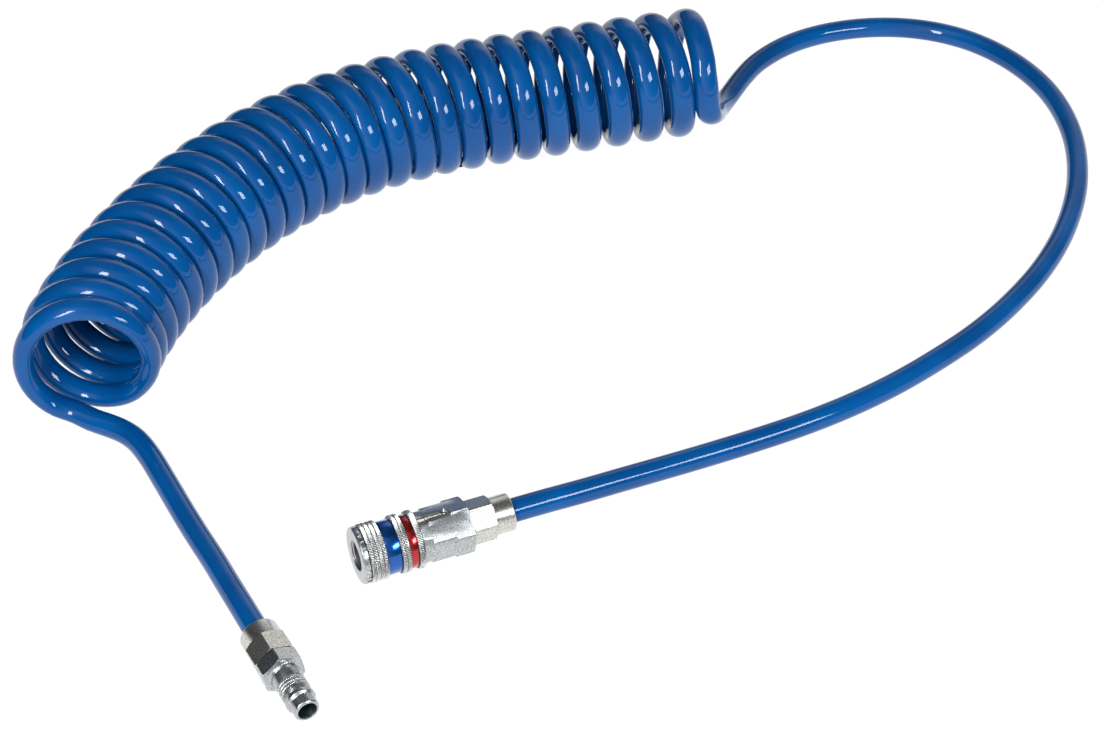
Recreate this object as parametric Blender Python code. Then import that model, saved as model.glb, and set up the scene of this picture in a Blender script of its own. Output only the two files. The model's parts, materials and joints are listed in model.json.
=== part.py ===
"""Coiled polyurethane air hose with a quick release coupler on its long tail and a plug nipple on its short lead.

Run it with: blender --background --python part.py
Metres, +Z up. The origin is on the floor, below the middle of the two fittings' box. The coupler's axis
runs along +X from its mouth to its hose nut. Every turned piece is drawn in millimetres in its fitting's own
frame: along is the distance from the fitting's first face, radius the distance from the fitting's axis.
"""

import bmesh
import bpy
from math import cos, pi, radians, sin, sqrt
from mathutils import Matrix, Vector

MM = 0.001
GAP = 0.3                        # clearance kept between neighbouring pieces

# Hose, in millimetres
HOSE_RADIUS = 6.0                # an 8 x 12 mm hose
HOSE_SIDES_LEVEL = 4             # bevel resolution: 12 sides
HOSE_STEP = 22.0                 # spacing of the centreline points
COIL_MEAN_RADIUS = 31.2          # the hose's centreline, in the coil
COIL_SECTION_RADIUS = 5.17       # the hose is slightly flattened where it is coiled
COIL_RADIUS = COIL_MEAN_RADIUS + COIL_SECTION_RADIUS
COIL_STEP = 22.0
COIL_FIRST = 4.0                 # where the coil's first turn starts along its axis
COIL_LAST = 467.0

# The coupler's mouth, and the nipple's nut end with the direction of its axis
COUPLER_MOUTH = (-5.8, 33.0, 14.25)
NIPPLE_HEEL = (-62.25, 6.5, 10.85)
NIPPLE_TURN = -84.26             # degrees about +Z, from +X

# Axis of the coil, at the height of its radius
COIL_ROUTE = [
    (315, 298), (297, 306), (272.5, 310.5), (228, 317), (183.5, 324), (139, 328), (94, 325),
    (50.5, 313), (10, 293), (-26.5, 267), (-59, 236), (-86, 200), (-92.5, 181),
]
# Hose from the coupler's nut to the start of the coil
TAIL_ROUTE = [
    (67, 33, 14.25), (90, 33, 14.1), (108, 33.3, 13.3), (132, 35.4, 11), (158, 37.7, 8.4), (184, 39.6, 6.5),
    (209, 40.5, 6.1), (235, 42, 6), (262, 45.2, 6), (290, 50.7, 6), (319, 59, 6), (349, 69.7, 6),
    (379, 84.2, 6), (411, 104.4, 6), (442, 131.2, 6), (470.5, 166, 6), (491.5, 207, 6), (500.4, 248.3, 6),
    (496.6, 284.3, 6), (483.6, 313.3, 6), (463, 334.3, 6), (437, 347.3, 6), (407.5, 352.5, 6),
    (382, 350, 6), (357.5, 340.4, 6), (341.3, 329, 6), (331, 320, 6), (322.2, 312.4, 6),
]
# Hose from the nipple's nut to the end of the coil
LEAD_ROUTE = [
    (-61.7, 1.3, 10.85), (-62.9, 13, 10.7), (-63.9, 27, 10), (-65, 45, 8.2), (-66.2, 64, 6.8),
    (-68.3, 85, 6.1), (-70, 104, 6), (-71.6, 125, 6), (-73.7, 148, 6), (-76.4, 161, 6), (-80.6, 169.6, 6),
    (-84.6, 174.6, 6),
]
TAIL_STARTS = 72.6               # along the coupler: the hose is solid here, so it starts past the spigot
LEAD_STARTS = 5.2                # along the nipple, before the spigot's end

# Hexagons across their flats, and the turn of a corner from straight up
BODY_FLATS = 24.0
NUT_FLATS = 19.0
BODY_TURN = 11.0
NUT_TURN = 14.0
NIPPLE_HEX_TURN = 9.0

# Coupler, millimetres along its axis from the mouth
RING_END = 3.0
SLEEVE_START = 3.35
SLEEVE_END = 30.3
SLEEVE_TRAVEL = 3.0
BALL_ALONG = 9.0
BALL_RADIUS = 1.75
BALL_CENTRE = 7.9                # locked, from the coupler's axis
BALL_TRAVEL = 1.08
BALL_COUNT = 6
BLUE_GROOVE = (12.0, 18.8)
RED_GROOVE = (23.3, 27.1)
BODY_START = 20.0
NECK_START = 30.6
NECK_STEP = 34.9
COLLAR_START = 46.4
BODY_END = 55.7
NUT_START = 56.2
NUT_COLLAR = 68.2
NUT_END = 77.8

# Coupler, millimetres from its axis
KNURL = 14.25
RING_OUTER = 13.9
GROOVE_FLOOR = 12.4
BAND_OUTER = 13.1
TUBE_OUTER = 9.3
TUBE_REAR = 10.1
SOCKET_BORE = 7.35               # takes the nipple's locking collar
NOSE_BORE = 6.25                 # takes the nipple's nose
BODY_BORE = 10.4
NECK_RADII = (11.3, 12.4, 13.1)  # under the sleeve, beside it, and up to the hexagon

ROUND = 36                       # sides of a large turned piece
SMALL_ROUND = 24

STEEL = (0.78, 0.79, 0.80)
SPRING_STEEL = (0.62, 0.63, 0.65)
BLUE_METAL = (0.01, 0.10, 0.48)
RED_METAL = (0.42, 0.015, 0.02)
SEAL_RUBBER = (0.02, 0.02, 0.02)
HOSE_BLUE = (0.005, 0.085, 0.42)


def clear_scene():
    for obj in list(bpy.data.objects):
        bpy.data.objects.remove(obj, do_unlink=True)


def material(name, colour, metallic, roughness):
    """One Principled material per sub-part."""
    made = bpy.data.materials.new(name)
    made.use_nodes = True
    shader = made.node_tree.nodes["Principled BSDF"]
    shader.inputs["Base Color"].default_value = (*colour, 1.0)
    shader.inputs["Metallic"].default_value = metallic
    shader.inputs["Roughness"].default_value = roughness
    made.diffuse_color = (*colour, 1.0)
    return made


def add_object(name, data, parent, colour, metallic=1.0, roughness=0.3):
    obj = bpy.data.objects.new(name, data)
    bpy.context.scene.collection.objects.link(obj)
    obj.parent = parent
    data.materials.append(material(name, colour, metallic, roughness))
    return obj


def fitting_frame(name, place, turn):
    """An empty whose +X is a fitting's axis. Its pieces are parented to it."""
    frame = bpy.data.objects.new(name, None)
    frame.location = Vector(place) * MM
    frame.rotation_euler = (0.0, 0.0, radians(turn))
    bpy.context.scene.collection.objects.link(frame)
    return frame


def turned_mesh(name, profile, sides):
    """A closed mesh of revolution about +X, from (along, radius) corners in order round the section."""
    shape = bmesh.new()
    rings = []
    for along, radius in profile:
        if radius == 0:
            rings.append([shape.verts.new((along * MM, 0.0, 0.0))])
            continue
        ring = []
        for i in range(sides):
            angle = 2 * pi * i / sides
            ring.append(shape.verts.new((along * MM, radius * sin(angle) * MM, radius * cos(angle) * MM)))
        rings.append(ring)
    for a, b in zip(rings, rings[1:] + rings[:1]):
        if len(a) == 1 and len(b) == 1:
            continue
        for i in range(sides):
            j = (i + 1) % sides
            corners = [a[i % len(a)], a[j % len(a)], b[j % len(b)], b[i % len(b)]]
            shape.faces.new(list(dict.fromkeys(corners)))
    bmesh.ops.recalc_face_normals(shape, faces=shape.faces)
    mesh = bpy.data.meshes.new(name)
    shape.to_mesh(mesh)
    shape.free()
    mesh.shade_smooth()
    mesh.set_sharp_from_angle(angle=radians(25))
    return mesh


def turned(name, profile, parent, colour, sides=ROUND, metallic=1.0, roughness=0.3):
    return add_object(name, turned_mesh(name, profile, sides), parent, colour, metallic, roughness)


def outline_prism(name, outline, low, high, parent, axis="X"):
    """A hidden cutter: a flat outline in millimetres, extruded along one axis from low to high."""
    shape = bmesh.new()
    ends = []
    for level in (low, high):
        ends.append([shape.verts.new(prism_point(a, b, level, axis)) for a, b in outline])
    count = len(outline)
    for i in range(count):
        j = (i + 1) % count
        shape.faces.new((ends[0][i], ends[0][j], ends[1][j], ends[1][i]))
    shape.faces.new(ends[0])
    shape.faces.new(ends[1])
    bmesh.ops.recalc_face_normals(shape, faces=shape.faces)
    mesh = bpy.data.meshes.new(name)
    shape.to_mesh(mesh)
    shape.free()
    return hidden(name, mesh, parent)


def prism_point(a, b, level, axis):
    if axis == "X":
        return (level * MM, a * MM, b * MM)
    return (a * MM, b * MM, level * MM)


def hidden(name, mesh, parent):
    """A tool body that is only used by a Boolean."""
    cutter = bpy.data.objects.new(name, mesh)
    bpy.context.scene.collection.objects.link(cutter)
    cutter.parent = parent
    cutter.hide_render = True
    cutter.display_type = "WIRE"
    return cutter


def combine(obj, tool, operation):
    step = obj.modifiers.new(tool.name, "BOOLEAN")
    step.operation = operation
    step.solver = "EXACT"
    step.object = tool


def hexagon_outline(flats, turn):
    """Corners of a hexagon as (y, z), with one corner turned from +Z towards -Y."""
    reach = flats / sqrt(3)
    angles = [radians(turn + 60 * i) for i in range(6)]
    return [(-reach * sin(a), reach * cos(a)) for a in angles]


def cut_to_hexagon(obj, flats, turn, low, high, parent):
    bar = outline_prism(obj.name + "_hexagon", hexagon_outline(flats, turn), low, high, parent)
    combine(obj, bar, "INTERSECT")


def oring(name, along, mean_radius, cord_radius, parent):
    """A rubber ring: a round section turned about the axis."""
    steps = 6
    angles = [2 * pi * i / steps for i in range(steps)]
    section = [(along + cord_radius * cos(a), mean_radius + cord_radius * sin(a)) for a in angles]
    return turned(name, section, parent, SEAL_RUBBER, SMALL_ROUND, 0.0, 0.6)


def spring(name, start, end, mean_radius, wire_radius, turns, parent):
    """A compression spring: a round wire along a helix about the fitting's axis."""
    per_turn = 14
    wire_sides = 5
    steps = int(turns * per_turn)
    rise = (end - start) / (2 * pi * turns)
    shape = bmesh.new()
    rings = []
    for k in range(steps + 1):
        angle = 2 * pi * turns * k / steps
        outward = Vector((0.0, cos(angle), sin(angle)))
        centre = Vector((start + rise * angle, 0.0, 0.0)) + outward * mean_radius
        tangent = Vector((rise, -mean_radius * sin(angle), mean_radius * cos(angle))).normalized()
        across = tangent.cross(outward)
        ring = []
        for i in range(wire_sides):
            turn = 2 * pi * i / wire_sides
            point = centre + (outward * cos(turn) + across * sin(turn)) * wire_radius
            ring.append(shape.verts.new(point * MM))
        rings.append(ring)
    for a, b in zip(rings, rings[1:]):
        for i in range(wire_sides):
            j = (i + 1) % wire_sides
            shape.faces.new((a[i], a[j], b[j], b[i]))
    shape.faces.new(rings[0])
    shape.faces.new(rings[-1])
    bmesh.ops.recalc_face_normals(shape, faces=shape.faces)
    mesh = bpy.data.meshes.new(name)
    shape.to_mesh(mesh)
    shape.free()
    mesh.shade_smooth()
    return add_object(name, mesh, parent, SPRING_STEEL, 1.0, 0.3)


def smooth_route(points, per_span=24):
    """A Catmull-Rom curve through the points, spaced by the square root of their distances."""
    points = [Vector(p) for p in points]
    points = [points[0] * 2 - points[1]] + points + [points[-1] * 2 - points[-2]]
    line = []
    for p0, p1, p2, p3 in zip(points, points[1:], points[2:], points[3:]):
        t1 = (p1 - p0).length ** 0.5
        t2 = t1 + (p2 - p1).length ** 0.5
        t3 = t2 + (p3 - p2).length ** 0.5
        for k in range(per_span):
            t = t1 + (t2 - t1) * k / per_span
            a1 = p0 * ((t1 - t) / t1) + p1 * (t / t1)
            a2 = p1 * ((t2 - t) / (t2 - t1)) + p2 * ((t - t1) / (t2 - t1))
            a3 = p2 * ((t3 - t) / (t3 - t2)) + p3 * ((t - t2) / (t3 - t2))
            b1 = a1 * ((t2 - t) / t2) + a2 * (t / t2)
            b2 = a2 * ((t3 - t) / (t3 - t1)) + a3 * ((t - t1) / (t3 - t1))
            line.append(b1 * ((t2 - t) / (t2 - t1)) + b2 * ((t - t1) / (t2 - t1)))
    line.append(points[-2])
    return line


def even_points(line, first, last, step):
    """Points at equal distances along a line, between two distances from its start."""
    reached = [0.0]
    for a, b in zip(line, line[1:]):
        reached.append(reached[-1] + (b - a).length)
    last = min(last, reached[-1])
    spans = max(1, round((last - first) / step))
    made = []
    at = 0
    for k in range(spans + 1):
        target = first + (last - first) * k / spans
        while at < len(line) - 2 and reached[at + 1] < target:
            at += 1
        share = (target - reached[at]) / (reached[at + 1] - reached[at])
        made.append(line[at].lerp(line[at + 1], share))
    return made


def hose(name, points, radius):
    """A solid round bar along the points, with flat ends."""
    curve = bpy.data.curves.new(name, "CURVE")
    curve.dimensions = "3D"
    curve.fill_mode = "FULL"
    curve.twist_mode = "Z_UP"
    curve.bevel_depth = radius * MM
    curve.bevel_resolution = HOSE_SIDES_LEVEL
    curve.use_fill_caps = True
    line = curve.splines.new("POLY")
    line.points.add(len(points) - 1)
    for target, point in zip(line.points, points):
        target.co = (*(point * MM), 1.0)
    return add_object(name, curve, None, HOSE_BLUE, 0.0, 0.12)


def make_coupler_body(frame):
    """Hexagon bar, turned down in two steps for the sleeve and bored for the socket and valve."""
    under, beside, neck = NECK_RADII
    corner = BODY_FLATS / sqrt(3)
    chamfer = 0.9
    bore_end = 47.5
    thread_bore = 6.9
    profile = [
        (BODY_START, BODY_BORE), (BODY_START, under), (NECK_START, under), (NECK_START, beside),
        (NECK_STEP, beside), (NECK_STEP, neck), (COLLAR_START, neck), (COLLAR_START, corner - 0.4),
        (COLLAR_START + 0.5, corner), (BODY_END - 0.6, corner), (BODY_END, corner - chamfer),
        (BODY_END, thread_bore), (bore_end, thread_bore), (bore_end, BODY_BORE),
    ]
    body = turned("coupler_body", profile, frame, STEEL, ROUND, 1.0, 0.32)
    cut_to_hexagon(body, BODY_FLATS, BODY_TURN, BODY_START - 5, BODY_END + 5, frame)
    # The vent window on top: wide beside the sleeve, narrow and round-ended further back
    far_side = 2.1
    near_side = -4.2
    round_end = 43.9
    outline = [(NECK_STEP - 5.4, far_side), (NECK_STEP - 5.4, near_side), (NECK_STEP + 0.4, near_side),
               (NECK_STEP + 0.4, -far_side)]
    for i in range(9):
        angle = radians(-90 + 180 * i / 8)
        outline.append((round_end + far_side * cos(angle), far_side * sin(angle)))
    window = outline_prism("coupler_window", outline, 8.0, 18.0, frame, axis="Z")
    combine(body, window, "DIFFERENCE")
    return body


def make_socket_tube(frame):
    """The tube that the plug enters, with the ball holes, the seal groove and the valve seat."""
    groove = (15.2, 17.3, 7.8)
    seat = (20.8, 22.8)
    chamber = 8.3
    profile = [
        (1.0, SOCKET_BORE + 0.3), (1.0, TUBE_OUTER), (BODY_START, TUBE_OUTER), (BODY_START, TUBE_REAR),
        (NECK_STEP, TUBE_REAR), (NECK_STEP, chamber), (seat[1], chamber), (seat[0], NOSE_BORE),
        (groove[1], NOSE_BORE), (groove[1], groove[2]), (groove[0], groove[2]), (groove[0], NOSE_BORE),
        (14.6, NOSE_BORE), (14.2, SOCKET_BORE), (1.4, SOCKET_BORE),
    ]
    tube = turned("socket_tube", profile, frame, STEEL, ROUND, 1.0, 0.28)
    # Each hole narrows inwards, so its ball can't fall into the socket
    shape = bmesh.new()
    for i in range(BALL_COUNT):
        low, high = 6.0, 11.0
        narrow, wide = 1.4, 2.6
        lie = ball_direction(i)
        turn = Vector((0, 0, 1)).rotation_difference(lie).to_matrix().to_4x4()
        place = Matrix.Translation(Vector((BALL_ALONG, 0, 0)) * MM + lie * ((low + high) / 2 * MM)) @ turn
        bmesh.ops.create_cone(shape, cap_ends=True, segments=16, radius1=narrow * MM, radius2=wide * MM,
                              depth=(high - low) * MM, matrix=place)
    mesh = bpy.data.meshes.new("ball_holes")
    shape.to_mesh(mesh)
    shape.free()
    combine(tube, hidden("ball_holes", mesh, frame), "DIFFERENCE")
    return tube


def ball_direction(i):
    angle = 2 * pi * (i + 0.5) / BALL_COUNT
    return Vector((0.0, -sin(angle), cos(angle)))


def make_locking_balls(frame):
    balls = []
    for i in range(BALL_COUNT):
        name = f"locking_ball_{i + 1}"
        shape = bmesh.new()
        bmesh.ops.create_uvsphere(shape, u_segments=12, v_segments=8, radius=BALL_RADIUS * MM)
        mesh = bpy.data.meshes.new(name)
        shape.to_mesh(mesh)
        shape.free()
        mesh.shade_smooth()
        ball = add_object(name, mesh, frame, STEEL, 1.0, 0.12)
        ball.location = (Vector((BALL_ALONG, 0, 0)) + ball_direction(i) * BALL_CENTRE) * MM
        balls.append(ball)
    return balls


def make_nose_ring(frame):
    """The ring that closes the sleeve's front, with a row of square grip notches."""
    mouth = 7.5
    profile = [
        (0.0, mouth + 0.5), (0.0, RING_OUTER - 0.5), (0.4, RING_OUTER), (RING_END, RING_OUTER),
        (RING_END, TUBE_OUTER + GAP), (0.7, TUBE_OUTER + GAP), (0.7, mouth), (0.4, mouth),
    ]
    notches = 24
    ring = turned("nose_ring", profile, frame, STEEL, 2 * notches, 1.0, 0.32)
    half_width = 0.8
    floor = RING_OUTER - 0.9
    for i in range(notches):
        angle = 2 * pi * (i + 0.5) / notches
        side = Vector((cos(angle), sin(angle)))
        out = Vector((-sin(angle), cos(angle)))
        corners = [out * floor - side * half_width, out * floor + side * half_width,
                   out * 16 + side * half_width, out * 16 - side * half_width]
        tool = outline_prism(f"notch_{i + 1}", corners, 1.0, RING_END + 1, frame)
        combine(ring, tool, "DIFFERENCE")
    return ring


def make_release_sleeve(frame):
    """The sliding sleeve: knurled lands, two band grooves, the ball ramp and the spring chamber inside."""
    land = TUBE_OUTER + GAP
    chamber = NECK_RADII[0] + GAP
    ramp = BALL_TRAVEL / SLEEVE_TRAVEL
    over_ball = BALL_CENTRE + BALL_RADIUS + GAP
    ramp_front = over_ball + ramp * (BALL_ALONG - SLEEVE_START)
    ramp_end = BALL_ALONG + (over_ball - land) / ramp
    chamber_start = 12.6
    rear_bore = 27.3
    ring_count = 4
    ring_width = (BLUE_GROOVE[0] - SLEEVE_START) / ring_count
    outer = []
    for i in range(ring_count):
        start = SLEEVE_START + i * ring_width
        outer += [(start, KNURL - 0.35), (start + 0.35, KNURL), (start + ring_width - 0.35, KNURL)]
    profile = outer + [
        (BLUE_GROOVE[0], KNURL - 0.35), (BLUE_GROOVE[0], GROOVE_FLOOR), (BLUE_GROOVE[1], GROOVE_FLOOR),
        (BLUE_GROOVE[1], KNURL - 0.3),
        (BLUE_GROOVE[1] + 0.3, KNURL), (RED_GROOVE[0] - 0.3, KNURL), (RED_GROOVE[0], KNURL - 0.3),
        (RED_GROOVE[0], GROOVE_FLOOR), (RED_GROOVE[1], GROOVE_FLOOR), (RED_GROOVE[1], KNURL - 0.3),
        (RED_GROOVE[1] + 0.3, KNURL), (SLEEVE_END - 0.5, KNURL), (SLEEVE_END, KNURL - 0.5),
        (SLEEVE_END, 12.75), (rear_bore, 12.75), (rear_bore, chamber), (chamber_start, chamber),
        (chamber_start, land), (ramp_end, land), (SLEEVE_START, ramp_front),
    ]
    return turned("release_sleeve", profile, frame, STEEL, ROUND, 1.0, 0.35)


def make_band(name, groove, colour, frame):
    """An anodised ring, split underneath so that it snaps into its groove."""
    inner = GROOVE_FLOOR + 0.2
    start, end = groove[0] + 0.2, groove[1] - 0.2
    profile = [(start, inner), (start, BAND_OUTER), (end, BAND_OUTER), (end, inner)]
    band = turned(name, profile, frame, colour, ROUND, 1.0, 0.2)
    split = [(-0.3, -16.0), (0.3, -16.0), (0.3, -11.0), (-0.3, -11.0)]
    combine(band, outline_prism(name + "_split", split, start - 1, end + 1, frame), "DIFFERENCE")
    return band


def make_valve_poppet(frame):
    """A slotted cup that the plug pushes, a seal groove, a flange and a stem inside the spring."""
    nose = 5.5
    cup = 4.2
    profile = [
        (16.5, cup), (16.5, nose - 0.3), (16.8, nose), (21.2, nose), (21.2, 4.9), (23.2, 4.9), (23.2, 7.9),
        (25.2, 7.9), (25.2, 3.2), (31.0, 3.0), (31.5, 2.5), (31.5, 0), (20.9, 0), (20.9, cup),
    ]
    poppet = turned("valve_poppet", profile, frame, STEEL, SMALL_ROUND, 1.0, 0.25)
    for i in range(2):
        turn = radians(45 + 90 * i)
        side = Vector((cos(turn), sin(turn)))
        out = Vector((-sin(turn), cos(turn)))
        corners = [side * 1.4 - out * 7, side * 1.4 + out * 7, -side * 1.4 + out * 7, -side * 1.4 - out * 7]
        combine(poppet, outline_prism(f"air_slot_{i + 1}", corners, 18.4, 20.7, frame), "DIFFERENCE")
    return poppet


def make_valve_housing(frame):
    """The rear half of the inner tube, with the seat of the valve spring."""
    bore = 7.6
    profile = [
        (NECK_STEP + GAP, bore), (NECK_STEP + GAP, TUBE_REAR), (47.2, TUBE_REAR), (47.2, 4.5),
        (45.2, 4.5), (45.2, bore),
    ]
    return turned("valve_housing", profile, frame, STEEL, ROUND, 1.0, 0.28)


def make_sealing_washer(frame):
    profile = [(BODY_END + GAP, 6.9), (BODY_END + GAP, 8.0), (56.9, 8.0), (56.9, 6.9)]
    return turned("sealing_washer", profile, frame, SEAL_RUBBER, SMALL_ROUND, 0.0, 0.6)


def spigot(tip, base, direction):
    """Corners of a hose spigot with one soft barb, from its tip back to its base."""
    return [
        (tip, 3.6), (tip + direction * 3.0, 4.5), (tip + direction * 3.8, 4.5),
        (tip + direction * 4.4, 3.9), (base, 3.9),
    ]


def make_hose_adapter(frame):
    """Threaded into the body: carries the nut's thread and the spigot that the hose is pushed over."""
    bore = 2.9
    shoulder = 57.2
    thread_end = 65.0
    tip = TAIL_STARTS - GAP
    profile = [(48.2, bore), (48.2, 6.1), (48.7, 6.58), (shoulder, 6.58), (shoulder, 7.9),
               (thread_end - 0.5, 7.9), (thread_end, 7.4)]
    profile += list(reversed(spigot(tip, thread_end, -1)))
    profile.append((tip, bore))
    return turned("hose_adapter", profile, frame, STEEL, SMALL_ROUND, 1.0, 0.3)


def make_nut(name, frame, open_end, collar, hose_end):
    """Hexagon nut with a round collar towards the hose. open_end is the threaded side."""
    corner = NUT_FLATS / sqrt(3)
    way = 1 if hose_end > open_end else -1
    shape = [
        (open_end, corner - 0.7), (open_end + way * 0.5, corner), (collar - way * 0.7, corner),
        (collar, corner - 1.2), (collar, 9.3), (hose_end - way * 0.4, 9.3), (hose_end, 8.9),
        (hose_end, 6.7), (hose_end - way * 0.4, 6.4), (collar + way * 0.3, 6.4),
        (collar - way * 2.2, 8.25), (open_end, 8.25),
    ]
    nut = turned(name, shape, frame, STEEL, ROUND, 1.0, 0.3)
    low, high = sorted((open_end - way * 5, hose_end + way * 5))
    cut_to_hexagon(nut, NUT_FLATS, BODY_TURN if frame.name == "coupler" else NUT_TURN, low, high, frame)
    return nut


def make_nipple_body(frame):
    """The plug: spigot and thread inside the nut, hexagon, shoulder, grip ring, ball groove and nose."""
    corner = NUT_FLATS / sqrt(3)
    bore = 4.6
    hose_bore = 2.9
    tip = LEAD_STARTS + GAP
    profile = list(spigot(tip, 13.0, 1))
    profile += [
        (13.0, 7.4), (13.5, 7.9), (20.6, 7.9), (20.9, 7.6), (20.9, 9.0), (21.3, corner - 0.6), (21.7, corner),
        (28.0, corner), (28.5, corner - 0.8), (28.5, 8.0), (29.6, 6.9), (36.0, 6.9), (36.0, 6.6),
        (40.8, 6.6), (40.8, 6.9), (42.0, 6.9), (42.0, 5.3), (44.1, 5.3), (44.9, 7.1), (46.9, 7.1),
        (47.9, 6.0), (52.8, 6.0), (53.4, 5.5), (53.4, bore), (30.0, bore), (28.0, hose_bore), (tip, hose_bore),
    ]
    body = turned("nipple_body", profile, frame, STEEL, ROUND, 1.0, 0.3)
    cut_to_hexagon(body, NUT_FLATS, NIPPLE_HEX_TURN, 0.0, 60.0, frame)
    return body


def make_hose():
    """One bar for each loose stretch, and one fat bar for the coil's outside."""
    tail_line = smooth_route(TAIL_ROUTE)
    first = TAIL_STARTS + COUPLER_MOUTH[0] - TAIL_ROUTE[0][0]
    tail = hose("hose_tail", even_points(tail_line, first, 9999, HOSE_STEP), HOSE_RADIUS)
    lead_line = smooth_route(LEAD_ROUTE)
    lead = hose("hose_lead", even_points(lead_line, 0.0, 9999, HOSE_STEP), HOSE_RADIUS)
    axis = smooth_route([(x, y, COIL_RADIUS) for x, y in COIL_ROUTE])
    coil = hose("hose_coil", even_points(axis, COIL_FIRST, COIL_LAST, COIL_STEP), COIL_RADIUS)
    return tail, coil, lead


def main():
    clear_scene()
    coupler = fitting_frame("coupler", COUPLER_MOUTH, 0.0)
    make_coupler_body(coupler)
    make_socket_tube(coupler)
    make_nose_ring(coupler)
    make_release_sleeve(coupler)
    make_band("blue_band", BLUE_GROOVE, BLUE_METAL, coupler)
    make_band("red_band", RED_GROOVE, RED_METAL, coupler)
    spring("sleeve_spring", 13.55, 19.05, 10.65, 0.55, 2.5, coupler)
    make_locking_balls(coupler)
    oring("plug_seal", 16.25, 6.65, 0.8, coupler)
    make_valve_poppet(coupler)
    oring("valve_seal", 22.2, 6.05, 0.8, coupler)
    spring("valve_spring", 26.1, 44.3, 6.3, 0.5, 5.0, coupler)
    make_valve_housing(coupler)
    make_sealing_washer(coupler)
    make_hose_adapter(coupler)
    make_nut("coupler_nut", coupler, NUT_START, NUT_COLLAR, NUT_END)

    nipple = fitting_frame("nipple", NIPPLE_HEEL, NIPPLE_TURN)
    make_nipple_body(nipple)
    make_nut("nipple_nut", nipple, 20.6, 9.0, 0.0)
    make_hose()


main()
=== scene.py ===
# %% [markdown]
# # A coiled air hose with a quick coupler
# The object is one blue polyurethane hose. Most of it is wound into a coil that springs back by itself. At
# the end of its long tail is a quick coupler, and at the end of its short lead is the plug that fits such a
# coupler. A CAD model gives the fixed frame: where each piece is, how large it is and what moves. This
# script makes the surfaces that are seen. It never moves a CAD piece. It gives it a finish, or puts a finer
# piece in its place.

# %% Load the frame
import json
from math import cos, pi, radians, sin, sqrt

import bmesh
import bpy
from mathutils import Matrix, Vector

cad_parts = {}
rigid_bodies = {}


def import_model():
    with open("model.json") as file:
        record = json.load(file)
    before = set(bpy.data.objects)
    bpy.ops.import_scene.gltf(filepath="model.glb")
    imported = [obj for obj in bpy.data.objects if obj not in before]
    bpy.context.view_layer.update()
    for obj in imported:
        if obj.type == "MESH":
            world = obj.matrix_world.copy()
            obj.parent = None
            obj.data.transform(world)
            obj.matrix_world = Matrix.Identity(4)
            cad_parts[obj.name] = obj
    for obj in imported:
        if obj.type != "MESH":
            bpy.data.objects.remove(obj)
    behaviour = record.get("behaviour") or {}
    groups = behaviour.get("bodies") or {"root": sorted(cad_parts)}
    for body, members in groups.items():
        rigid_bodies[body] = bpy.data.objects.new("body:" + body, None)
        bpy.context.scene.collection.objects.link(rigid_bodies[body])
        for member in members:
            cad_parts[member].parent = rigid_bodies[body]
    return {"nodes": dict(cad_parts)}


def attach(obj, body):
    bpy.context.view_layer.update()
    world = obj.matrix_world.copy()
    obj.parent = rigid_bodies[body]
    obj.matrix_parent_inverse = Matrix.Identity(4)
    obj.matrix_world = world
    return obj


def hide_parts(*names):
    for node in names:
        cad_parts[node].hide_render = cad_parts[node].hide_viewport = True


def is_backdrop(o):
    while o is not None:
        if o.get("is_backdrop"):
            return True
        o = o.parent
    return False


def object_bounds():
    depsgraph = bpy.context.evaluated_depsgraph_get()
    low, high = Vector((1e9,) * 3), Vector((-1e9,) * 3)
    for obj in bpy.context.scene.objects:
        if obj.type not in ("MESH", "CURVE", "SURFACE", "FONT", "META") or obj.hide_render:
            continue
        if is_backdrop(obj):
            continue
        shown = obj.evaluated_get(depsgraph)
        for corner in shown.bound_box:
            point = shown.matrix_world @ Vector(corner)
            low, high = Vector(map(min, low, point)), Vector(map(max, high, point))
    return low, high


MM = 0.001
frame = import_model()
cad_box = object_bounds()
print("CAD nodes:", len(frame["nodes"]), "size in mm:", [round(s / MM) for s in cad_box[1] - cad_box[0]])

# %% [markdown]
# ## The camera
# The hose lies on a table, and the camera looks down on it at about 40 degrees through a long lens, from
# 1.2 m away. A long lens keeps the near coupler and the far end of the coil at nearly the same scale. The
# camera could be turned with Euler angles, but a direction that it looks along is easier to read and to
# change.

# %% Camera
CAMERA_PLACE = Vector((-253.7, -787.1, 860.7)) * MM
CAMERA_LOOKS_ALONG = Vector((0.2964, 0.6994, -0.6504))
CAMERA_LENS = 83.5               # mm
SENSOR_WIDTH = 36                # mm
NEAREST, FURTHEST = 0.01, 50     # m, what the camera sees

camera = bpy.data.objects.new("camera", bpy.data.cameras.new("camera"))
bpy.context.scene.collection.objects.link(camera)
camera.location = CAMERA_PLACE
camera.rotation_mode = "QUATERNION"
camera.rotation_quaternion = CAMERA_LOOKS_ALONG.to_track_quat("-Z", "Y")
camera.data.lens = CAMERA_LENS
camera.data.sensor_width = SENSOR_WIDTH
camera.data.clip_start = NEAREST
camera.data.clip_end = FURTHEST
bpy.context.scene.camera = camera
print("camera", round(CAMERA_PLACE.length, 2), "m from the origin")
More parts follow.
